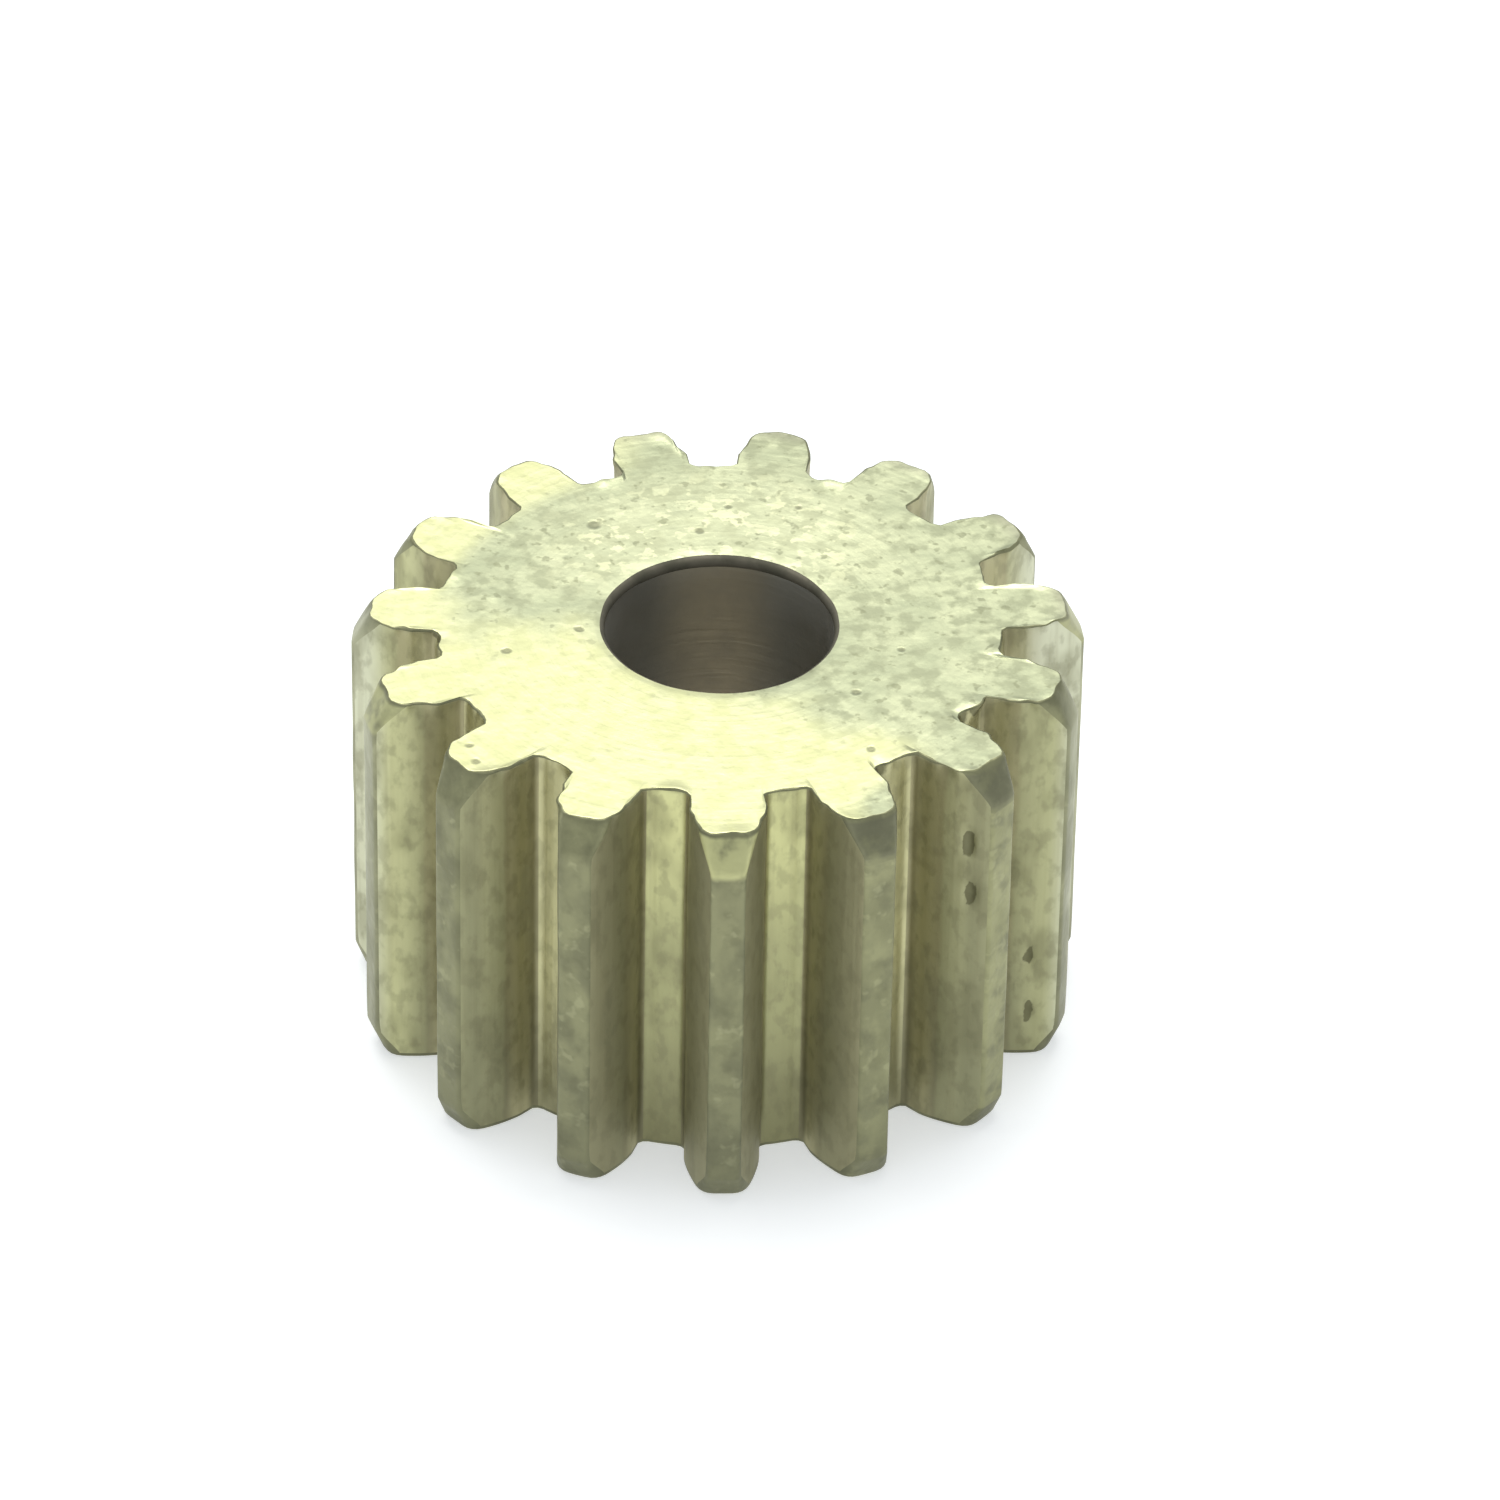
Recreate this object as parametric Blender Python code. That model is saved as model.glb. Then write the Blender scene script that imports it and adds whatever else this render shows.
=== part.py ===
"""One-piece brass spur pinion: 15 straight teeth of module 0.6 around a plain bore.

Everything is in metres.  The bore axis is the Z axis, the bottom face lies on
z = 0, and one tooth points along -Y.
"""

from math import acos, cos, pi, radians, sin, tan

import bmesh
import bpy
from mathutils import Vector

MM = 0.001

# Tooth form
MODULE = 0.6 * MM
TOOTH_COUNT = 15
PRESSURE_ANGLE = radians(20)
TOOTH_THICKNESS = 0.98 * MM      # along the pitch circle, slightly fuller than half the pitch
ROOT_RADIUS = 3.92 * MM          # floor of the gaps between the teeth
ROOT_FILLET = 0.14 * MM          # where a flank runs into the floor

# Body
FACE_WIDTH = 6.1 * MM
BORE_DIAMETER = 3.175 * MM       # a light push fit on a 1/8 inch shaft
BORE_EDGE_BREAK = 0.07 * MM      # 45 degree deburring of both ends of the bore
TOP_CHAMFER_DEPTH = 0.25 * MM    # taken off the tooth tips at the top face, towards the axis
TOP_CHAMFER_LENGTH = 0.5 * MM    # along the axis
LOW_CHAMFER_DEPTH = 0.16 * MM    # the same at the bottom face
LOW_CHAMFER_LENGTH = 0.4 * MM

# Derived sizes
PITCH_RADIUS = MODULE * TOOTH_COUNT / 2
TIP_RADIUS = PITCH_RADIUS + MODULE
BASE_RADIUS = PITCH_RADIUS * cos(PRESSURE_ANGLE)
TOOTH_PITCH = 2 * pi / TOOTH_COUNT

# Fineness of the curved stretches
FLANK_POINTS = 7                 # along one involute
FILLET_POINTS = 4                # along one root fillet
FLOOR_POINTS = 3                 # along the floor of one gap
FACETS_PER_TOOTH = 8             # of the turned blank, so that every tooth sees the same facets
CUTTER_MARGIN = 0.5 * MM         # the tooth form reaches this far past the blank
SMOOTH_ANGLE = radians(25)


def clear_scene():
    for obj in list(bpy.data.objects):
        bpy.data.objects.remove(obj, do_unlink=True)


def brass():
    """Drawn brass with a dull, slightly green tarnish."""
    material = bpy.data.materials.new("brass")
    material.use_nodes = True
    shader = material.node_tree.nodes["Principled BSDF"]
    shader.inputs["Base Color"].default_value = (0.56, 0.53, 0.27, 1.0)
    shader.inputs["Metallic"].default_value = 1.0
    shader.inputs["Roughness"].default_value = 0.42
    return material


def involute(angle):
    return tan(angle) - angle


def half_angle(radius):
    """Half the tooth's angular width at a radius on its involute flank."""
    pressure = acos(min(1.0, BASE_RADIUS / radius))
    at_pitch = TOOTH_THICKNESS / 2 / PITCH_RADIUS
    return at_pitch + involute(PRESSURE_ANGLE) - involute(pressure)


def spread(start, end, count):
    return [start + (end - start) * i / (count - 1) for i in range(count)]


def half_tooth():
    """(radius, angle from the tooth's centre line) from the gap's floor up to past the tip."""
    flank_half = half_angle(BASE_RADIUS)
    fillet_half = ROOT_FILLET / ROOT_RADIUS
    points = []
    for turn in spread(0, pi / 2, FILLET_POINTS):
        radius = ROOT_RADIUS + ROOT_FILLET * (1 - cos(turn))
        points.append((radius, flank_half + fillet_half * (1 - sin(turn))))
    for radius in spread(BASE_RADIUS, TIP_RADIUS, FLANK_POINTS):
        points.append((radius, half_angle(radius)))
    points.append((TIP_RADIUS + CUTTER_MARGIN, half_angle(TIP_RADIUS)))
    return points


def tooth_outline():
    """The toothed outline, anticlockwise, its tips left long for the blank to trim."""
    flank = half_tooth()
    floor_half = flank[0][1]
    outline = []
    for tooth in range(TOOTH_COUNT):
        centre = -pi / 2 + tooth * TOOTH_PITCH
        outline += [(radius, centre - angle) for radius, angle in flank]
        outline += [(radius, centre + angle) for radius, angle in reversed(flank)]
        floor = spread(floor_half, TOOTH_PITCH - floor_half, FLOOR_POINTS + 2)
        outline += [(ROOT_RADIUS, centre + angle) for angle in floor[1:-1]]
    return [Vector((radius * cos(a), radius * sin(a), 0)) for radius, a in outline]


def blank_profile():
    """Cross-section of the turned blank as (radius, height), outer side first."""
    bore = BORE_DIAMETER / 2
    return [
        (TIP_RADIUS - TOP_CHAMFER_DEPTH, FACE_WIDTH),
        (TIP_RADIUS, FACE_WIDTH - TOP_CHAMFER_LENGTH),
        (TIP_RADIUS, LOW_CHAMFER_LENGTH),
        (TIP_RADIUS - LOW_CHAMFER_DEPTH, 0),
        (bore + BORE_EDGE_BREAK, 0),
        (bore, BORE_EDGE_BREAK),
        (bore, FACE_WIDTH - BORE_EDGE_BREAK),
        (bore + BORE_EDGE_BREAK, FACE_WIDTH),
    ]


def new_object(name, shape):
    """A named object from a bmesh, with its faces turned outwards."""
    bmesh.ops.recalc_face_normals(shape, faces=shape.faces)
    mesh = bpy.data.meshes.new(name)
    shape.to_mesh(mesh)
    shape.free()
    obj = bpy.data.objects.new(name, mesh)
    bpy.context.scene.collection.objects.link(obj)
    return obj


def turned_blank(name):
    """The blank as it leaves the lathe: a ring with a bore and chamfered ends."""
    shape = bmesh.new()
    facets = FACETS_PER_TOOTH * TOOTH_COUNT
    rings = []
    for facet in range(facets):
        turn = 2 * pi * (facet + 0.5) / facets - pi / 2
        ring = [(r * cos(turn), r * sin(turn), z) for r, z in blank_profile()]
        rings.append([shape.verts.new(point) for point in ring])
    for ring, following in zip(rings, rings[1:] + rings[:1]):
        for i in range(len(ring)):
            shape.faces.new((ring[i - 1], ring[i], following[i], following[i - 1]))
    return new_object(name, shape)


def tooth_form(name):
    """The toothed outline drawn out along the axis, past both ends of the blank."""
    shape = bmesh.new()
    corners = [shape.verts.new(point) for point in tooth_outline()]
    floor = shape.faces.new(corners)
    bmesh.ops.translate(shape, verts=corners, vec=(0, 0, -CUTTER_MARGIN))
    lifted = bmesh.ops.extrude_face_region(shape, geom=[floor])["geom"]
    top = [item for item in lifted if isinstance(item, bmesh.types.BMVert)]
    bmesh.ops.translate(shape, verts=top, vec=(0, 0, FACE_WIDTH + 2 * CUTTER_MARGIN))
    cutter = new_object(name, shape)
    cutter.display_type = "WIRE"
    cutter.hide_render = True
    return cutter


def cut_teeth(blank, form):
    """Keep the part of the blank that lies inside the tooth form."""
    boolean = blank.modifiers.new("teeth", "BOOLEAN")
    boolean.operation = "INTERSECT"
    boolean.object = form
    depsgraph = bpy.context.evaluated_depsgraph_get()
    cut = bpy.data.meshes.new_from_object(blank.evaluated_get(depsgraph))
    blank.modifiers.clear()
    blank.data = cut
    bpy.data.objects.remove(form, do_unlink=True)


def finish_surface(gear, material):
    """One material all over, round stretches smooth, machined edges sharp."""
    gear.data.materials.clear()
    gear.data.materials.append(material)
    gear.data.shade_smooth()
    gear.data.set_sharp_from_angle(angle=SMOOTH_ANGLE)


def main():
    clear_scene()
    gear = turned_blank("pinion_gear")
    cut_teeth(gear, tooth_form("tooth_form"))
    finish_surface(gear, brass())


main()
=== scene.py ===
from math import acos, cos, exp, pi, radians, sin, tan

import bpy
import numpy as np
from mathutils import Matrix, Vector, noise


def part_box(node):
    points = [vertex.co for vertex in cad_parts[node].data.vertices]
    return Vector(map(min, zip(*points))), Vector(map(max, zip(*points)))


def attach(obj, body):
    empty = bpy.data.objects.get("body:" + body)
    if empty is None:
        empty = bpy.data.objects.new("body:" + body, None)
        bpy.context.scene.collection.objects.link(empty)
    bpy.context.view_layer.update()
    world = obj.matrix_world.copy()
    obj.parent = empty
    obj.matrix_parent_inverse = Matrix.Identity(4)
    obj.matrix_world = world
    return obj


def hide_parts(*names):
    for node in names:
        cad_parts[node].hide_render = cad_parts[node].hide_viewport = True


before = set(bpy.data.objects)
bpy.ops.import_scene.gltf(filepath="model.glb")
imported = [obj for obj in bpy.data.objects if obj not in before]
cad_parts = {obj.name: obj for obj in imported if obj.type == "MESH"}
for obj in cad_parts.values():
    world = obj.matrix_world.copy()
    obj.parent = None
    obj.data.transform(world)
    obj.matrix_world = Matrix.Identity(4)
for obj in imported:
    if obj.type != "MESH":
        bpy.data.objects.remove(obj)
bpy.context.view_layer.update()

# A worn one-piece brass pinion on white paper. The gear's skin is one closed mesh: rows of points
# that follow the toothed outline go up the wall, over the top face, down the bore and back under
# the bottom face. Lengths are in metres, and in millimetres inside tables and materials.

MM = 0.001

# The gear, measured on its CAD node
NODE = "pinion_gear"
LOW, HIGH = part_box(NODE)
TIP_RADIUS = -LOW[1]                 # one tooth points along -Y
FACE_WIDTH = HIGH[2] - LOW[2]
TOOTH_COUNT = 15
TOOTH_PITCH = 2 * pi / TOOTH_COUNT
MODULE = TIP_RADIUS / (TOOTH_COUNT / 2 + 1)
PRESSURE_ANGLE = radians(20)
PITCH_RADIUS = MODULE * TOOTH_COUNT / 2
BASE_RADIUS = PITCH_RADIUS * cos(PRESSURE_ANGLE)
ROOT_RADIUS = 6.53 * MODULE
ROOT_FILLET = 0.23 * MODULE
TOOTH_THICKNESS = 1.63 * MODULE      # along the pitch circle
BORE_RADIUS = 1.5875 * MM
TOP_CHAMFER_DEPTH = 0.25 * MM        # taken off the tips at the top face
TOP_CHAMFER_LENGTH = 0.5 * MM
LOW_CHAMFER_DEPTH = 0.16 * MM        # taken off the tips at the bottom face
LOW_CHAMFER_LENGTH = 0.4 * MM

# Wear
FLANK_WEAR = 0.4                     # how far the flanks are worn from an involute to a plane
CORNER_WEAR = 0.04 * MM              # rounding of the long edges of the tooth tips
END_CORNER_WEAR = 0.12 * MM          # how much more those edges are rounded at both ends
END_REACH = 0.30 * MM                # how far from the ends that goes
EDGE_WEAR = 0.025 * MM               # rounding of the edges round both faces, before it varies
EDGE_MARGIN = 2.6 * EDGE_WEAR        # how far from both ends the wall's own rows stop
MOST_WEAR = 0.10 * MM                # the most that those edges are rounded
RIM_WEAR = 0.07 * MM                 # mean rounding of the bore's two rims
WAVE = 0.008 * MM                    # unevenness of the walls
RAGGED = 0.042 * MM                  # how far the outline of a face strays
RAGGED_DEPTH = 0.12 * MM             # how far down the wall that can be seen
BURR = 0.04 * MM                     # height of the burr along the top face's edge
BURR_REACH = 0.14 * MM               # how far in from the edge it goes

# Knocks in the teeth: (tooth, side, radius, height, half width, half height, depth), in mm.
# Teeth count anticlockwise from the one along -Y.
DENTS = [
    (2, -1, 4.80, 4.92, 0.11, 0.28, 0.06),
    (2, -1, 4.84, 4.08, 0.11, 0.22, 0.06),
    (3, -1, 4.70, 1.72, 0.09, 0.17, 0.05),
    (3, -1, 4.72, 0.76, 0.09, 0.22, 0.06),
    (9, 1, 4.60, 3.60, 0.12, 0.20, 0.06),
]
# Chips out of the edge round the top face: (place, radius, half width, depth), in mm.
# Places count like the teeth, so that halves lie in gaps. Lumps have a depth below zero.
CHIPS = [
    (1.33, 4.00, 0.24, 0.10), (1.20, 4.20, 0.20, -0.07),
    (2.38, 3.98, 0.22, 0.10), (2.58, 3.98, 0.22, -0.10),
    (0.20, 4.30, 0.20, -0.05), (13.7, 4.25, 0.20, -0.06),
    (6.55, 4.00, 0.22, 0.06), (11.4, 4.00, 0.22, 0.07),
]
CHIP_HEIGHT = 0.25 * MM
# How much lighter or darker the tips and the top chamfers of some teeth are: 1 is lightest, -1 darkest
TIP_TONE = {1: 0.25, 2: 0.35}
CHAMFER_TONE = {0: 1.0, 1: -0.8, 2: -0.7, 4: 0.5, 7: 0.6, 12: 0.6, 13: 0.1, 14: 0.15}

# Pits in the faces: (x, y, radius), in mm
FACE_PITS = [
    (-1.70, 2.46, 0.11), (-1.94, -0.06, 0.07), (-2.94, -0.58, 0.07), (-3.46, -2.78, 0.06),
    (-3.38, -3.14, 0.06), (1.82, -1.58, 0.07), (1.98, -2.90, 0.07), (-0.22, 2.30, 0.08),
]

# How finely the skin is divided
FLOOR_STEPS = 4                      # from the middle of a gap to its fillet
FILLET_STEPS = 3
FLANK_STEPS = 14
CORNER_STEPS = 4
TIP_STEPS = 3                        # from the corner of a tip to its middle
EDGE_ROWS = 4
CHAMFER_ROWS = 6
WALL_ROWS = 44
FACE_ROWS = 22
UNDERSIDE_ROWS = 8
BORE_ROWS = 9
CROWDING = 1.7                       # how much closer a face's rows lie near its edge

# Stage
TABLE_SIZE = 1.2
TABLE_GAP = 0.01 * MM                # below the gear, so that the two never share a plane
LAMP_AZIMUTH = radians(100)
LAMP_ELEVATION = radians(70)
LAMP_DISTANCE = 0.30
LAMP_SIZE = 0.22
LAMP_RADIANCE = 4.0
SKY_STRENGTH = 0.7
CAMERA_AZIMUTH = radians(-92.0)
CAMERA_ELEVATION = radians(36.5)
CAMERA_ROLL = radians(1.09)
CAMERA_DISTANCE = 25 * TIP_RADIUS
CAMERA_LENS = 218.4
AIM_RIGHT = 0.092 * TIP_RADIUS
AIM_UP = 0.1456 * TIP_RADIUS


# ---------------------------------------------------------------- toothed outline

def involute(angle):
    return tan(angle) - angle


def involute_half_angle(radius):
    """Half the angular width of an unworn tooth at a radius."""
    pressure = acos(min(1.0, BASE_RADIUS / radius))
    at_pitch = TOOTH_THICKNESS / 2 / PITCH_RADIUS
    return at_pitch + involute(PRESSURE_ANGLE) - involute(pressure)


def half_angle(radius, inset):
    """Half the tooth's angular width at a radius on its worn flank, moved in by an inset."""
    along = (radius - BASE_RADIUS) / (TIP_RADIUS - BASE_RADIUS)
    first, last = involute_half_angle(BASE_RADIUS), involute_half_angle(TIP_RADIUS)
    plane = first + (last - first) * along
    curve = involute_half_angle(radius)
    return curve + (plane - curve) * FLANK_WEAR - inset / BASE_RADIUS


def half_tooth(height, inset):
    """(radius, angle) from the middle of a gap to the middle of the tooth, moved in by an inset."""
    near = min(height, FACE_WIDTH - height)
    wear = CORNER_WEAR + END_CORNER_WEAR * exp(-((near / END_REACH) ** 2))
    root = ROOT_RADIUS - inset
    fillet = ROOT_FILLET + inset
    tip = tip_at(height) - inset
    root_half = half_angle(BASE_RADIUS, inset) + fillet / root
    points = []
    for i in range(FLOOR_STEPS):
        points.append((root, TOOTH_PITCH / 2 + (root_half - TOOTH_PITCH / 2) * i / FLOOR_STEPS))
    for i in range(FILLET_STEPS):
        turn = pi / 2 * i / FILLET_STEPS
        points.append((root + fillet * (1 - cos(turn)), root_half - fillet / root * sin(turn)))
    last = tip - wear
    for i in range(FLANK_STEPS):
        radius = BASE_RADIUS + (last - BASE_RADIUS) * i / FLANK_STEPS
        points.append((radius, half_angle(radius, inset)))
    corner = half_angle(tip, inset)
    land = corner - wear / tip
    for i in range(CORNER_STEPS):
        t = i / CORNER_STEPS
        radius = last * (1 - t) ** 2 + tip * (1 - (1 - t) ** 2)
        angle = half_angle(last, inset) * (1 - t) ** 2 + corner * 2 * t * (1 - t) + land * t * t
        points.append((radius, angle))
    for i in range(TIP_STEPS + 1):
        points.append((tip, land * (1 - i / TIP_STEPS)))
    return points


def outline(height, inset=0.0):
    """The whole toothed outline at a height as an array of (x, y), anticlockwise from a gap."""
    half = half_tooth(height, inset)
    points = []
    for tooth in range(TOOTH_COUNT):
        centre = -pi / 2 + tooth * TOOTH_PITCH
        points += [(r, centre - a) for r, a in half]
        points += [(r, centre + a) for r, a in reversed(half[1:-1])]
    radius, angle = np.array(points).T
    return np.stack([radius * np.cos(angle), radius * np.sin(angle)], axis=1)


def column_kinds():
    """Which stretch of the outline each column of the skin belongs to."""
    half = ["floor"] * (FLOOR_STEPS + 1) + ["flank"] * (FILLET_STEPS - 1 + FLANK_STEPS)
    half += ["tip"] * (CORNER_STEPS + TIP_STEPS)
    return (half + half[::-1]) * TOOTH_COUNT


def outward(line):
    """Unit normals of a closed outline, pointing out of the metal."""
    along = np.roll(line, -1, axis=0) - np.roll(line, 1, axis=0)
    normal = np.stack([along[:, 1], -along[:, 0]], axis=1)
    return normal / np.linalg.norm(normal, axis=1, keepdims=True)


def ripple(points, swings, seed):
    """Smooth noise from -1 to 1 at points, with so many swings to the millimetre."""
    scaled = np.atleast_2d(points) / MM * swings
    if scaled.shape[1] == 2:
        scaled = np.column_stack([scaled, np.zeros(len(scaled))])
    return np.array([noise.noise(Vector(p) + Vector((seed, -seed, seed))) for p in scaled])


# ---------------------------------------------------------------- gear skin

def tip_at(height):
    """Radius of the tooth tips at a height: the chamfers take some off near both ends."""
    at_top = TOP_CHAMFER_DEPTH * max(0.0, 1 - (FACE_WIDTH - height) / TOP_CHAMFER_LENGTH)
    at_bottom = LOW_CHAMFER_DEPTH * max(0.0, 1 - height / LOW_CHAMFER_LENGTH)
    return TIP_RADIUS - at_top - at_bottom


def level(line, height):
    """A row of (x, y, z) from an outline and its height or heights."""
    return np.column_stack([line, np.full(len(line), height)])


def spread_out(low, high, count):
    """Heights from one to another, in even steps, without the last."""
    return [low + (high - low) * i / count for i in range(count)]


def wall_heights():
    """(height, zone) of each row of the wall, from the bottom up."""
    last = FACE_WIDTH - EDGE_MARGIN
    top_chamfer = FACE_WIDTH - TOP_CHAMFER_LENGTH
    heights = [(z, "low_chamfer") for z in spread_out(EDGE_MARGIN, LOW_CHAMFER_LENGTH, CHAMFER_ROWS)]
    heights += [(z, "wall") for z in spread_out(LOW_CHAMFER_LENGTH, top_chamfer, WALL_ROWS)]
    heights += [(z, "top_chamfer") for z in spread_out(top_chamfer, last, CHAMFER_ROWS)]
    return heights + [(last, "top_chamfer")]


def rounded_edge(wear, at_top):
    """Rows that turn from the wall onto a face, by a wear that differs along the edge."""
    height = FACE_WIDTH if at_top else 0.0
    outer = outline(height)
    inner = outline(height, MOST_WEAR)
    rows = []
    for i in range(EDGE_ROWS + 1):
        turn = pi / 2 * i / EDGE_ROWS
        inset = wear * (1 - cos(turn)) / MOST_WEAR
        drop = wear * (1 - sin(turn))
        line = outer + (inner - outer) * inset[:, None]
        rows.append(level(line, abs(height - drop)))
    return rows


def bore_rim(rays, wear, at_top):
    """Rows that turn from a face down into the bore."""
    rows = []
    for i in range(EDGE_ROWS + 1):
        turn = pi / 2 * i / EDGE_ROWS
        radius = BORE_RADIUS + wear * (1 - sin(turn))
        drop = wear * (1 - cos(turn))
        rows.append(level(rays * radius[:, None], FACE_WIDTH - drop if at_top else drop))
    return rows


def across(start, end, count, crowding=1.0):
    """Rows between two others; crowding above 1 draws them towards the start."""
    steps = [(i / count) ** crowding for i in range(1, count)]
    return [start * (1 - t) + end * t for t in steps]


def weathered(row):
    """A row of the wall, uneven all over and ragged along the top edge."""
    normal = outward(row[:, :2])
    edge = np.exp(-(((FACE_WIDTH - row[:, 2]) / RAGGED_DEPTH) ** 2))
    along = level(row[:, :2], FACE_WIDTH)
    shift = WAVE * ripple(row, swings=1.1, seed=2.0)
    broad = ripple(along, swings=2.6, seed=7.0)
    fine = ripple(along, swings=6.0, seed=1.0)
    shift += edge * RAGGED * (broad + 0.9 * fine)
    return knocked(row + np.column_stack([normal * shift[:, None], np.zeros(len(row))]))


def dent_places():
    """Centre, half width, half height and push of each knock, chip and lump, in metres."""
    for tooth, side, radius, height, half_width, half_height, depth in DENTS:
        turn = -pi / 2 + tooth * TOOTH_PITCH + side * half_angle(radius * MM, 0.0)
        centre = (radius * MM * cos(turn), radius * MM * sin(turn), height * MM)
        inward = np.array([sin(turn), -cos(turn), 0.0]) * side
        yield centre, half_width * MM, half_height * MM, depth * MM * inward
    for place, radius, half_width, depth in CHIPS:
        turn = -pi / 2 + place * TOOTH_PITCH
        centre = (radius * MM * cos(turn), radius * MM * sin(turn), FACE_WIDTH)
        inward = np.array([-cos(turn), -sin(turn), -0.3])
        yield centre, half_width * MM, CHIP_HEIGHT, depth * MM * inward


def inside_dent(points, centre, half_width, half_height):
    """1 at the middle of a knock, 0 outside it."""
    away = points - np.array(centre)
    flat = np.linalg.norm(away[:, :2], axis=1) / half_width
    tall = away[:, 2] / half_height
    return np.clip(1 - flat ** 2 - tall ** 2, 0, 1) ** 2


def knocked(row):
    """A row of the wall with the knocks, chips and lumps pushed in or out."""
    for centre, half_width, half_height, push in dent_places():
        row = row + inside_dent(row, centre, half_width, half_height)[:, None] * push
    return row


def top_face(clean_edge, edge, rim):
    """Rows from the worn edge of the top face to the bore, with a burr lifted along that edge."""
    broad = ripple(edge, swings=2.3, seed=4.4)
    fine = ripple(edge, swings=6.0, seed=8.0)
    lift = BURR * np.clip(broad + 0.4 * fine, 0, 1)
    strayed = edge - clean_edge
    rows = []
    for row in [clean_edge] + across(clean_edge, rim, FACE_ROWS, CROWDING):
        inward = np.linalg.norm(row[:, :2] - clean_edge[:, :2], axis=1)
        near_edge = np.exp(-((inward / BURR_REACH) ** 2))
        row = row + strayed * near_edge[:, None]
        rows.append(level(row[:, :2], row[:, 2] + lift * near_edge))
    return rows


def gear_rows():
    """Rows of points round the gear's whole section, and the zone that each row is in."""
    line = outline(FACE_WIDTH)
    low_edge = rounded_edge(EDGE_WEAR * (1.4 + 0.8 * ripple(line, swings=1.7, seed=9.2)), False)
    top_edge = rounded_edge(EDGE_WEAR * (1.2 + 0.9 * ripple(line, swings=2.1, seed=3.7)), True)
    clean_edge = top_edge[-1]
    low_edge = [weathered(row) for row in low_edge]
    top_edge = [weathered(row) for row in top_edge]
    rays = line / np.linalg.norm(line, axis=1, keepdims=True)
    rim_wear = RIM_WEAR * (1.0 + 0.75 * rays[:, 1] + 0.2 * ripple(rays * MM, swings=3.0, seed=5.1))
    top_rim = bore_rim(rays, rim_wear, True)
    low_rim = bore_rim(rays, rim_wear, False)
    underside = across(low_edge[-1], low_rim[0], UNDERSIDE_ROWS, CROWDING)[::-1]
    face = top_face(clean_edge, top_edge[-1], top_rim[0])
    rows = [(row, "underside") for row in underside]
    rows += [(row, "edge") for row in low_edge[:0:-1]]
    rows += [(weathered(level(outline(height), height)), zone) for height, zone in wall_heights()]
    rows += [(row, "edge") for row in top_edge[1:-1]]
    rows += [(row, "face") for row in face]
    rows += [(row, "rim") for row in top_rim[:-1]]
    rows += [(row, "bore") for row in [top_rim[-1]] + across(top_rim[-1], low_rim[-1], BORE_ROWS)]
    rows += [(row, "rim") for row in low_rim[:0:-1]]
    return rows + [(low_rim[0], "underside")]


def material_for(zone, kind):
    """The finish of a patch of the skin, from its zone and its stretch of the outline."""
    finishes = {"underside": "turned", "edge": "skin", "face": "turned", "rim": "rim", "bore": "bored"}
    return finishes.get(zone, "skin" if kind == "tip" else kind)


def skin_patches(zones):
    """(corners, finish) of each patch of the skin, which is a grid closed in both directions."""
    kinds = column_kinds()
    count = len(kinds)
    for row, zone in enumerate(zones):
        below = row * count
        above = (row + 1) % len(zones) * count
        for column, kind in enumerate(kinds):
            after = (column + 1) % count
            corners = (below + column, below + after, above + after, above + column)
            yield corners, material_for(zone, kind)


def build_gear(materials):
    """The gear's skin as one mesh, with its finishes and the marks that they use."""
    rows = gear_rows()
    zones = [zone for _, zone in rows]
    points = np.concatenate([row for row, _ in rows])
    patches = list(skin_patches(zones))
    names = list(materials)
    mesh = bpy.data.meshes.new("gear_skin")
    mesh.from_pydata(points.tolist(), [], [corners for corners, _ in patches])
    mesh.update()
    for material in materials.values():
        mesh.materials.append(material)
    mesh.polygons.foreach_set("material_index", [names.index(finish) for _, finish in patches])
    mesh.shade_smooth()
    mark_dents(mesh, points)
    mark_tooth_tone(mesh, zones)
    mark(mesh, "side", np.abs(points[:, 0]) / MM)
    gear = bpy.data.objects.new("gear_skin", mesh)
    bpy.context.scene.collection.objects.link(gear)
    return gear


def mark(mesh, name, values):
    """Keep a value at each point, for the materials."""
    mesh.attributes.new(name, "FLOAT", "POINT").data.foreach_set("value", values)


def mark_dents(mesh, points):
    """Keep how deep in a knock each point lies, for the dirt that gathers there."""
    deepest = np.zeros(len(points))
    for centre, half_width, half_height, _ in dent_places():
        deepest = np.maximum(deepest, inside_dent(points, centre, half_width, half_height))
    mark(mesh, "dent", deepest)


def mark_tooth_tone(mesh, zones):
    """Keep how much lighter or darker each tooth is on its tip and on its top chamfer."""
    columns = len(column_kinds())
    per_tooth = columns // TOOTH_COUNT
    tooth_tone = np.zeros((len(zones), columns))
    for row, zone in enumerate(zones):
        amounts = {"top_chamfer": CHAMFER_TONE, "wall": TIP_TONE}.get(zone, {})
        for tooth, amount in amounts.items():
            tooth_tone[row, tooth * per_tooth:(tooth + 1) * per_tooth] = amount
    mark(mesh, "tooth_tone", tooth_tone.ravel())


# ---------------------------------------------------------------- materials

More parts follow.
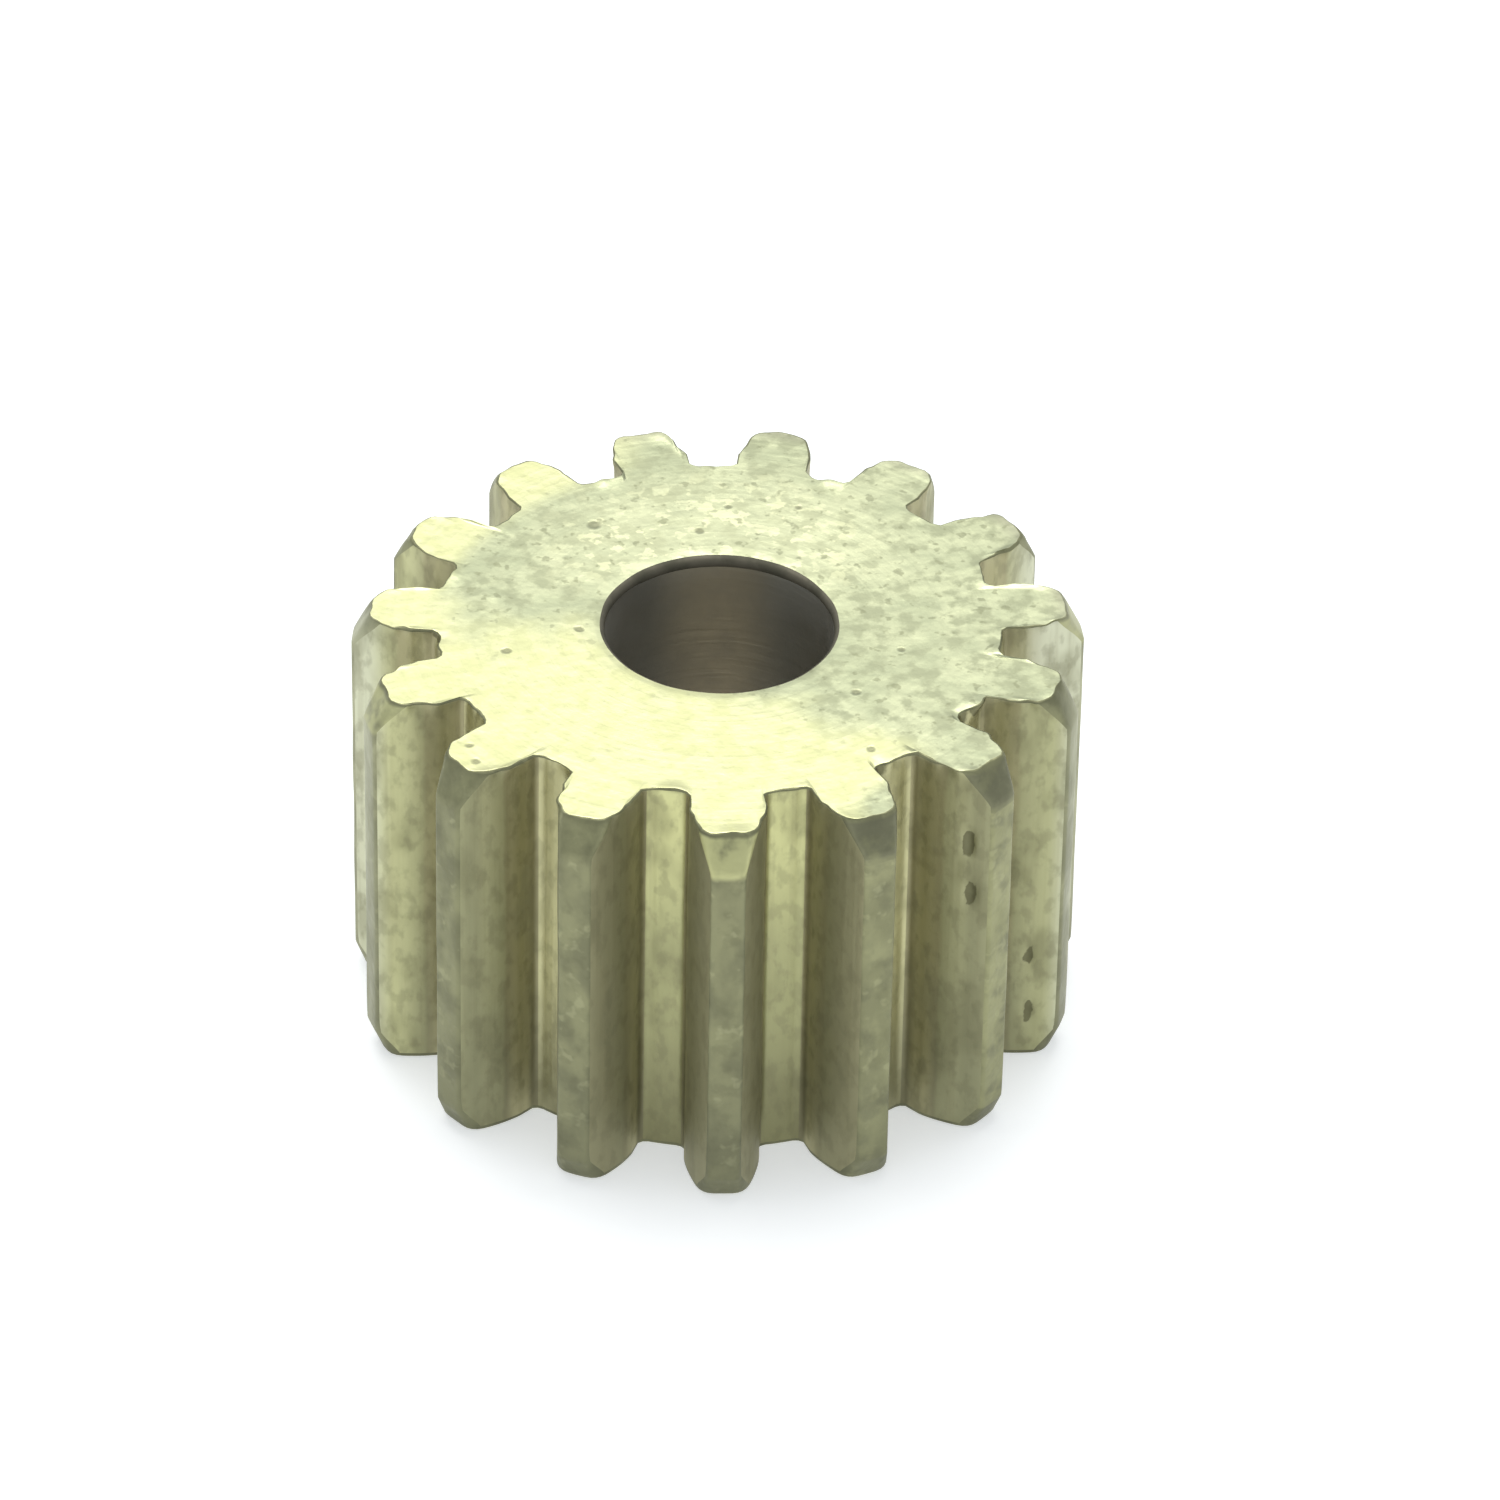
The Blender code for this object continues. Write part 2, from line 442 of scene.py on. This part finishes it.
class Graph:
    """Short names for building the node tree of one material."""

    def __init__(self, name):
        self.material = bpy.data.materials.new(name)
        self.material.use_nodes = True
        self.tree = self.material.node_tree
        self.shader = self.tree.nodes["Principled BSDF"]
        coordinates = self.node("ShaderNodeTexCoord").outputs["Object"]
        self.place = self.vector("MULTIPLY", coordinates, (1000, 1000, 1000))

    def node(self, kind, **settings):
        node = self.tree.nodes.new(kind)
        for name, value in settings.items():
            setattr(node, name, value)
        return node

    def feed(self, socket, value):
        """Link a socket to another, or set it to a plain value."""
        if isinstance(value, bpy.types.NodeSocket):
            self.tree.links.new(value, socket)
        else:
            socket.default_value = value

    def vector(self, operation, first, second):
        node = self.node("ShaderNodeVectorMath", operation=operation)
        self.feed(node.inputs[0], first)
        self.feed(node.inputs[1], second)
        return node.outputs["Value" if operation in ("LENGTH", "DOT_PRODUCT") else "Vector"]

    def math(self, operation, first, second):
        node = self.node("ShaderNodeMath", operation=operation)
        self.feed(node.inputs[0], first)
        self.feed(node.inputs[1], second)
        return node.outputs["Value"]

    def noise(self, scale, detail, stretch=(1, 1, 1), offset=0.0):
        """Cloudy noise around 0.5, with so many blobs to the millimetre."""
        node = self.node("ShaderNodeTexNoise")
        place = self.vector("MULTIPLY", self.place, stretch)
        self.feed(node.inputs["Vector"], self.vector("ADD", place, (offset, offset, offset)))
        node.inputs["Scale"].default_value = scale
        node.inputs["Detail"].default_value = detail
        return node.outputs["Fac"]

    def rings(self, scale, detail):
        """Noise that depends only on the distance from the gear's axis."""
        node = self.node("ShaderNodeTexNoise", noise_dimensions="1D")
        self.feed(node.inputs["W"], self.radius())
        node.inputs["Scale"].default_value = scale
        node.inputs["Detail"].default_value = detail
        return node.outputs["Fac"]

    def pits(self, scale, radius, share):
        """1 inside scattered round pits, so many cells to the millimetre, of which a share has one."""
        cells = self.node("ShaderNodeTexVoronoi")
        self.feed(cells.inputs["Vector"], self.place)
        cells.inputs["Scale"].default_value = scale
        inside = self.between(cells.outputs["Distance"], radius * scale, 0.4 * radius * scale)
        split = self.node("ShaderNodeSeparateColor")
        self.feed(split.inputs["Color"], cells.outputs["Color"])
        chosen = self.math("LESS_THAN", split.outputs["Red"], share)
        return self.math("MULTIPLY", inside, chosen)

    def spots(self, places):
        """1 inside round spots given as (x, y, radius) in millimetres, seen from above."""
        ragged = self.part(self.noise(8, 1), 0.06)
        nearest = 0.0
        for x, y, radius in places:
            away = self.vector("MULTIPLY", self.vector("SUBTRACT", self.place, (x, y, 0)), (1, 1, 0))
            reach = self.math("ADD", self.vector("LENGTH", away, (0, 0, 0)), ragged)
            nearest = self.math("MAXIMUM", nearest, self.between(reach, radius + 0.05, 0.5 * radius + 0.03))
        return nearest

    def between(self, value, low, high):
        """0 at the low end and 1 at the high end, smoothly."""
        node = self.node("ShaderNodeMapRange", interpolation_type="SMOOTHSTEP")
        self.feed(node.inputs["Value"], value)
        node.inputs["From Min"].default_value = min(low, high)
        node.inputs["From Max"].default_value = max(low, high)
        node.inputs["To Min"].default_value = 0.0 if low < high else 1.0
        node.inputs["To Max"].default_value = 1.0 if low < high else 0.0
        return node.outputs["Result"]

    def blend(self, amount, first, second):
        """The first colour where the amount is 0, and the second where it is 1."""
        node = self.node("ShaderNodeMix", data_type="RGBA")
        self.feed(node.inputs["Factor"], amount)
        for socket, colour in ((node.inputs[6], first), (node.inputs[7], second)):
            self.feed(socket, colour if isinstance(colour, bpy.types.NodeSocket) else (*colour, 1))
        return node.outputs[2]

    def part(self, value, share):
        return self.math("MULTIPLY", value, share)

    def radius(self):
        """A point's distance from the gear's axis, in millimetres."""
        return self.vector("LENGTH", self.vector("MULTIPLY", self.place, (1, 1, 0)), (0, 0, 0))

    def height(self):
        """A point's height above the bottom face, in millimetres."""
        return self.vector("DOT_PRODUCT", self.place, (0, 0, 1))

    def toward(self, right, back):
        """How many millimetres a point lies toward a direction seen from above."""
        return self.vector("DOT_PRODUCT", self.place, (right, back, 0))

    def mark(self, name):
        """A value kept on the mesh's points."""
        return self.node("ShaderNodeAttribute", attribute_name=name).outputs["Fac"]

    def finish(self, colour, roughness, height, depth, metallic=1.0):
        """Feed the shader and return the material; the height makes bumps of a depth."""
        self.feed(self.shader.inputs["Base Color"], colour)
        self.feed(self.shader.inputs["Roughness"], roughness)
        self.shader.inputs["Metallic"].default_value = metallic
        bump = self.node("ShaderNodeBump")
        bump.inputs["Distance"].default_value = depth
        self.feed(bump.inputs["Height"], height)
        self.tree.links.new(bump.outputs["Normal"], self.shader.inputs["Normal"])
        return self.material


# Colours, as (red, green, blue) of the bare or tarnished metal, and of light and shade painted onto it
FACE_PALE = (0.60, 0.625, 0.405)
FACE_DULL = (0.49, 0.52, 0.335)
FACE_STAIN = (0.38, 0.40, 0.26)
FACE_BACK_TEETH = (0.36, 0.35, 0.26)
# Highlights painted onto the faces: behind the bore, and in front, plain and mottled
FACE_PAINTED_GLEAM = (0.76, 0.77, 0.50)
FACE_HIGHLIGHT = (0.76, 0.76, 0.435)
FACE_HIGHLIGHT_MOTTLED = (0.66, 0.665, 0.37)
FACE_SPECK = (0.27, 0.28, 0.17)
FACE_RING = (0.40, 0.42, 0.27)
FACE_PIT = (0.20, 0.20, 0.12)
CUT_DIRT = (0.25, 0.24, 0.14)
CUT_LINE = (0.27, 0.25, 0.14)
CUT_GRAIN = (0.20, 0.19, 0.11)
CUT_KNOCK = (0.12, 0.115, 0.06)
FLANK_ROOT = (0.485, 0.458, 0.272)
FLANK_CREST = (0.27, 0.27, 0.16)
# Light and shade painted onto the flanks: lighter at the gear's two sides, a pale sheen, and shade on the
# front teeth
FLANK_RIGHT_SIDE_LIGHT = (0.455, 0.455, 0.255)
FLANK_LEFT_SIDE_LIGHT = (0.55, 0.55, 0.305)
FLANK_SIDE_SHEEN = (0.66, 0.67, 0.52)
FLANK_FRONT_SHADE = (0.325, 0.31, 0.185)
SKIN_GREEN = (0.255, 0.255, 0.142)
SKIN_GREY = (0.20, 0.20, 0.116)
SKIN_SPOT = (0.15, 0.15, 0.085)
SKIN_SPARK = (0.36, 0.36, 0.21)
# Painted reflection on the tips at the gear's two sides, and painted shade towards the bottom
SKIN_SIDE_SHEEN_PALE = (0.42, 0.42, 0.285)
SKIN_SIDE_SHEEN_DULL = (0.30, 0.30, 0.20)
SKIN_LOW_SHADE = (0.14, 0.14, 0.095)
SKIN_TONE_LIGHT = (0.55, 0.55, 0.28)
SKIN_TONE_DARK = (0.165, 0.165, 0.105)
RIM_BLACK = (0.115, 0.105, 0.075)
RIM_BLACKER = (0.085, 0.08, 0.055)
BORE_BROWN = (0.60, 0.545, 0.42)
BORE_DARK_BROWN = (0.52, 0.475, 0.37)
BORE_BLACK = (0.42, 0.41, 0.365)

# How the colour of the gaps and flanks runs with height, as painted light and shade: (near the top, plain,
# darkest near the bottom)
FLOOR_FRONT_LIT = ((0.565, 0.565, 0.28), (0.375, 0.375, 0.195), (0.29, 0.285, 0.155))
FLOOR_BROWN = ((0.46, 0.44, 0.245), (0.52, 0.50, 0.28), (0.37, 0.355, 0.21))
FLANK_INNER = ((0.40, 0.37, 0.218), (0.375, 0.348, 0.205), (0.275, 0.26, 0.16))
FLANK_OUTER = ((0.44, 0.43, 0.25), (0.41, 0.405, 0.235), (0.35, 0.345, 0.205))


def painted_face_highlight(g):
    """Where a highlight is painted on the faces: in front, and on the teeth to the left."""
    front = g.math("ADD", g.toward(-0.19, -0.35), g.noise(0.7, 2))
    outer = g.between(g.radius(), 3.7, 4.2)
    left = g.between(g.toward(-1, 0.2), 1.6, 2.8)
    right_teeth = g.math("MULTIPLY", g.between(g.radius(), 3.8, 4.7), g.between(g.toward(1, 0), 0.9, 2.2))
    front = g.math("SUBTRACT", front, g.part(right_teeth, 0.6))
    return g.math("MAXIMUM", g.between(front, 0.83, 1.3), g.part(outer, left))


def face_tarnish_and_highlight(g, mottle):
    """Colour of the faces outside the painted front highlight: dull at the back teeth, with a highlight
    painted behind the bore.
    """
    cloud = g.between(g.noise(1.3, 3, offset=2), 0.38, 0.66)
    gleam = g.between(g.noise(4.6, 3, offset=14), 0.48, 0.60)
    back_teeth = g.part(g.between(g.radius(), 4.5, 4.95), g.between(g.toward(0.2, 1), 0.0, 2.0))
    middle = g.part(g.between(g.mark("side"), 3.2, 1.2), g.between(g.radius(), 4.4, 2.6))
    behind = g.part(g.between(g.toward(0, 1), 0.3, 1.8), middle)
    colour = g.blend(cloud, FACE_PALE, FACE_DULL)
    colour = g.blend(g.part(mottle, 0.9), colour, FACE_STAIN)
    colour = g.blend(g.part(back_teeth, 0.7), colour, FACE_BACK_TEETH)
    # A highlight is painted on the face behind the bore, fuller in scattered spots.
    return g.blend(g.part(g.math("MAXIMUM", gleam, 0.35), behind), colour, FACE_PAINTED_GLEAM)


def turned_brass():
    """The two faces: faint lathe rings and pits under a mottled, patchy tarnish, with highlights painted in
    front, on the teeth to the left and behind the bore.
    """
    g = Graph("turned_brass")
    # A highlight is painted over the front of the faces and the teeth to the left; the mottling and specks
    # show only outside it.
    painted_light = painted_face_highlight(g)
    dull = g.math("SUBTRACT", 1.0, g.math("MULTIPLY", painted_light, 0.8))
    mottle = g.between(g.noise(3.4, 4, offset=4), 0.44, 0.62)
    speck = g.between(g.noise(5.5, 2, offset=21), 0.60, 0.70)
    rings = g.rings(8, 3)
    pits = g.math("MAXIMUM", g.pits(0.85, 0.08, 0.2), g.spots(FACE_PITS))
    colour = face_tarnish_and_highlight(g, g.part(mottle, dull))
    # The painted highlight, mottled, goes over the tarnish.
    colour = g.blend(painted_light, colour, g.blend(mottle, FACE_HIGHLIGHT, FACE_HIGHLIGHT_MOTTLED))
    colour = g.blend(g.part(g.part(speck, dull), 0.6), colour, FACE_SPECK)
    colour = g.blend(g.part(g.between(rings, 0.5, 0.8), 0.10), colour, FACE_RING)
    colour = g.blend(g.part(pits, 0.65), colour, FACE_PIT)
    rough = g.math("ADD", 0.42, g.part(mottle, 0.1))
    height = g.math("ADD", g.part(rings, 0.2), g.part(g.noise(4, 3), 0.8))
    return g.finish(colour, rough, g.math("SUBTRACT", height, g.part(pits, 0.5)), 0.012 * MM)


def painted_height_shading(g, run):
    """Colour of a cut surface with painted light and shade that runs with height, from the top face down to
    the darkest shade near the bottom.
    """
    painted_light, plain, low = run
    height = g.math("ADD", g.height(), g.noise(1.2, 2, offset=7))
    # Painted shade darkens the surface towards the bottom; a painted top colour takes over near the top
    # face.
    colour = g.blend(g.between(height, 1.2, 3.4), low, plain)
    return g.blend(g.between(height, 3.8, 6.4), colour, painted_light)


def cut_finish(g, colour, rough, metallic):
    """Grain of the gear cutter along the teeth, mottled dirt and dark knocks, over a colour."""
    lines = g.noise(7, 2, stretch=(1, 1, 0.03))
    cloud = g.between(g.noise(1.8, 3, stretch=(1, 1, 0.5), offset=3), 0.45, 0.68)
    grain = g.between(g.noise(5.5, 4, stretch=(1, 1, 0.6), offset=6), 0.46, 0.64)
    knock = g.math("ADD", g.mark("dent"), g.part(g.noise(9, 2), 0.35))
    colour = g.blend(g.part(cloud, 0.36), colour, CUT_DIRT)
    colour = g.blend(g.part(g.between(lines, 0.5, 0.75), 0.22), colour, CUT_LINE)
    colour = g.blend(g.part(grain, 0.32), colour, CUT_GRAIN)
    colour = g.blend(g.part(g.between(knock, 0.28, 0.38), 0.75), colour, CUT_KNOCK)
    bump = g.math("ADD", g.part(lines, 0.5), g.part(g.noise(4, 3), 0.6))
    return g.finish(colour, g.math("ADD", rough, g.part(cloud, 0.1)), bump, 0.010 * MM, metallic)


def floor_brass():
    """Floors of the gaps: bright yellow in front, as painted light, brown elsewhere."""
    g = Graph("floor_brass")
    # The gaps in front get a lighter copy of the colour: painted light.
    front = g.between(g.toward(0, -1), 3.3, 3.6)
    colour = g.blend(front, painted_height_shading(g, FLOOR_BROWN), painted_height_shading(g, FLOOR_FRONT_LIT))
    return cut_finish(g, colour, 0.38, 1.0)


def flank_brass():
    """Flanks of the teeth: brown inside, darker at the crest, with painted light at the gear's two sides
    and painted shade on the front teeth.
    """
    g = Graph("flank_brass")
    ragged = g.math("ADD", g.radius(), g.part(g.noise(2.5, 3, stretch=(1, 1, 0.4), offset=9), 0.12))
    root = g.part(g.between(ragged, 4.56, 4.32), g.between(g.radius(), 3.98, 4.12))
    inner = g.blend(root, painted_height_shading(g, FLANK_INNER), FLANK_ROOT)
    colour = g.blend(g.between(ragged, 4.49, 4.57), inner, painted_height_shading(g, FLANK_OUTER))
    colour = g.blend(g.part(g.between(g.radius(), 4.72, 4.9), 0.55), colour, FLANK_CREST)
    # Painted light on the outer flanks at the gear's two sides, more on the left than on the right.
    beside = g.part(g.between(g.mark("side"), 3.4, 4.4), g.between(g.radius(), 4.3, 4.9))
    side_light = g.blend(g.between(g.toward(-1, 0), -1, 1), FLANK_RIGHT_SIDE_LIGHT, FLANK_LEFT_SIDE_LIGHT)
    colour = g.blend(beside, colour, side_light)
    # A pale sheen is painted on the outer flanks at both sides of the gear and on the teeth to the right.
    right = g.part(g.between(g.toward(1, 0), 4.0, 4.5), g.between(g.toward(0, 1), -0.9, -0.4))
    side_sheen = g.math("MAXIMUM", g.between(g.mark("side"), 4.5, 4.9), right)
    colour = g.blend(g.part(side_sheen, 0.8), colour, FLANK_SIDE_SHEEN)
    # Painted shade on the flanks of the teeth in front.
    colour = g.blend(g.between(g.toward(0, -1), 3.95, 4.5), colour, FLANK_FRONT_SHADE)
    return cut_finish(g, colour, 0.54, 0.9)


def skin_brass():
    """Tips and end chamfers: the bar's old outer skin, grey and blotched, with a painted reflection on the
    tips at the gear's two sides and painted shade towards the bottom.
    """
    g = Graph("skin_brass")
    cloud = g.between(g.noise(2.0, 3, stretch=(1, 1, 0.7)), 0.36, 0.66)
    patch = g.between(g.noise(1.6, 4, stretch=(1, 1, 0.6), offset=17), 0.42, 0.6)
    spot = g.between(g.noise(4.2, 3, offset=5), 0.48, 0.70)
    spark = g.between(g.noise(4.5, 2, offset=11), 0.58, 0.72)
    # Painted shade, darker towards the bottom of the tips.
    low = g.between(g.height(), 3.0, 0.3)
    tooth_tone = g.math("MULTIPLY", g.mark("tooth_tone"), g.between(g.noise(2.8, 3, offset=12), 0.2, 0.55))
    # The tips at the gear's two sides are lighter in patches: a painted reflection.
    side = g.blend(patch, SKIN_SIDE_SHEEN_PALE, SKIN_SIDE_SHEEN_DULL)
    colour = g.blend(cloud, SKIN_GREEN, SKIN_GREY)
    colour = g.blend(g.part(spot, 0.4), colour, SKIN_SPOT)
    colour = g.blend(g.part(spark, 0.5), colour, SKIN_SPARK)
    colour = g.blend(g.between(g.mark("side"), 4.6, 5.0), colour, side)
    colour = g.blend(g.part(low, 0.3), colour, SKIN_LOW_SHADE)
    colour = g.blend(g.part(g.between(tooth_tone, 0.0, 1.0), 0.9), colour, SKIN_TONE_LIGHT)
    colour = g.blend(g.part(g.between(tooth_tone, 0.0, -1.0), 0.9), colour, SKIN_TONE_DARK)
    bump = g.math("ADD", g.part(cloud, 0.5), g.noise(5, 2))
    return g.finish(colour, g.math("ADD", 0.46, g.part(cloud, 0.1)), bump, 0.014 * MM, 0.85)


def rim_brass():
    """The broken edge round each end of the bore, near black."""
    g = Graph("rim_brass")
    cloud = g.between(g.noise(3.0, 3), 0.4, 0.65)
    colour = g.blend(cloud, RIM_BLACK, RIM_BLACKER)
    return g.finish(colour, g.math("ADD", 0.55, g.part(cloud, 0.1)), g.noise(6, 2), 0.008 * MM, 0.6)


def bored_brass():
    """The bore: darker and greyer at its two sides, browner down its front and back."""
    g = Graph("bored_brass")
    cloud = g.between(g.noise(1.2, 4), 0.4, 0.65)
    colour = g.blend(cloud, BORE_BROWN, BORE_DARK_BROWN)
    colour = g.blend(g.between(g.mark("side"), 0.35, 1.05), colour, BORE_BLACK)
    lines = g.noise(2, 3, stretch=(0.3, 0.3, 6))
    return g.finish(colour, g.math("ADD", 0.42, g.part(cloud, 0.1)), lines, 0.006 * MM, 0.9)


# ---------------------------------------------------------------- stage

def look_from(obj, place, direction, roll=0.0):
    """Put an object at a place with its -Z axis along a direction; return its right and up."""
    back = -direction.normalized()
    right = Vector((0, 0, 1)).cross(back).normalized()
    up = back.cross(right)
    turned_right = right * cos(roll) + up * sin(roll)
    turned_up = up * cos(roll) - right * sin(roll)
    axes = Matrix((turned_right, turned_up, back)).transposed()
    obj.matrix_world = Matrix.Translation(place) @ axes.to_4x4()
    return turned_right, turned_up


def ray_at(azimuth, elevation):
    """Unit vector from the gear towards a direction."""
    return Vector((cos(azimuth) * cos(elevation), sin(azimuth) * cos(elevation), sin(elevation)))


def add_camera():
    """A long lens that looks down on the gear, with one tooth pointing almost straight at it."""
    data = bpy.data.cameras.new("camera")
    data.lens = CAMERA_LENS
    data.sensor_width = 36
    data.clip_start = 0.005
    data.clip_end = 10
    camera = bpy.data.objects.new("camera", data)
    bpy.context.scene.collection.objects.link(camera)
    bpy.context.scene.camera = camera
    centre = Vector((0, 0, FACE_WIDTH / 2))
    ray = ray_at(CAMERA_AZIMUTH, CAMERA_ELEVATION)
    place = centre + ray * CAMERA_DISTANCE
    right, up = look_from(camera, place, -ray, CAMERA_ROLL)
    aim = centre + right * AIM_RIGHT + up * AIM_UP
    look_from(camera, place, aim - place, CAMERA_ROLL)


def add_table():
    """A white table top that glows a little, as paper does on a light box."""
    half = TABLE_SIZE / 2
    drop = LOW[2] - TABLE_GAP
    corners = [(-half, -half, drop), (half, -half, drop), (half, half, drop), (-half, half, drop)]
    mesh = bpy.data.meshes.new("table")
    mesh.from_pydata(corners, [], [(0, 1, 2, 3)])
    material = bpy.data.materials.new("white_paper")
    material.use_nodes = True
    shader = material.node_tree.nodes["Principled BSDF"]
    shader.inputs["Base Color"].default_value = (0.74, 0.75, 0.765, 1)
    shader.inputs["Roughness"].default_value = 0.9
    shader.inputs["Emission Color"].default_value = (0.97, 0.99, 1.0, 1)
    shader.inputs["Emission Strength"].default_value = 0.47
    mesh.materials.append(material)
    table = bpy.data.objects.new("table", mesh)
    bpy.context.scene.collection.objects.link(table)


def add_softbox():
    """A square lamp high behind the gear, whose light the top face returns."""
    data = bpy.data.lights.new("overhead", "AREA")
    data.shape = "SQUARE"
    data.size = LAMP_SIZE
    data.energy = LAMP_RADIANCE * pi * LAMP_SIZE * LAMP_SIZE
    data.color = (1.0, 0.99, 0.96)
    lamp = bpy.data.objects.new("overhead", data)
    bpy.context.scene.collection.objects.link(lamp)
    ray = ray_at(LAMP_AZIMUTH, LAMP_ELEVATION)
    look_from(lamp, ray * LAMP_DISTANCE, -ray)


def add_sky():
    """Even, slightly blue light from all round."""
    world = bpy.data.worlds.new("studio")
    world.use_nodes = True
    background = world.node_tree.nodes["Background"]
    background.inputs["Color"].default_value = (0.93, 0.97, 1.0, 1)
    background.inputs["Strength"].default_value = SKY_STRENGTH
    bpy.context.scene.world = world


gear = build_gear({"turned": turned_brass(), "floor": floor_brass(), "flank": flank_brass(),
                   "skin": skin_brass(), "rim": rim_brass(), "bored": bored_brass()})
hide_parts(NODE)
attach(gear, "root")
add_camera()
add_table()
add_softbox()
add_sky()
bpy.context.scene.view_settings.view_transform = "Standard"
